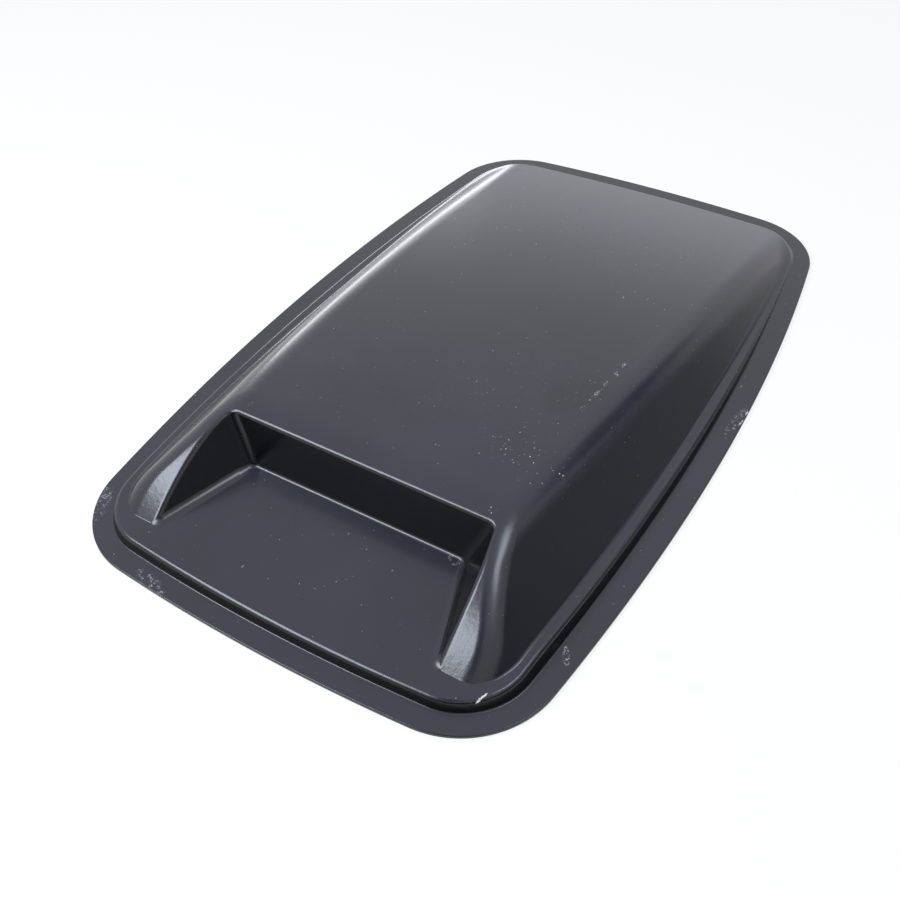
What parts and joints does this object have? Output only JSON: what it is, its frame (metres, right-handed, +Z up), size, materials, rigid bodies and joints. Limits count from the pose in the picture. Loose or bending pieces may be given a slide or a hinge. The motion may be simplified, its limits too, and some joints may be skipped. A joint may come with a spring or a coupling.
{
  "type": "bonnet scoop",
  "caption": "Low forward-facing bonnet scoop: a thin moulded shell with a flat fixing flange, a stepped plinth, a wedge body with rounded crowns and a wide blind mouth between raked cheek fins.",
  "frame": {"origin": "centre of the plan on the flange's underside", "axes": "+Z up, away from the bonnet; -Y forward, the way the mouth faces; +X to the right of someone looking into the mouth"},
  "size_m": [0.42, 0.68, 0.0609],
  "materials": {
    "gel_coat": "black gel coat with a soft gloss, dusty and lightly scuffed; bare laminate underneath"
  },
  "bodies": {
    "root": {"scoop_shell": "gel_coat"}
  },
  "joints": []
}
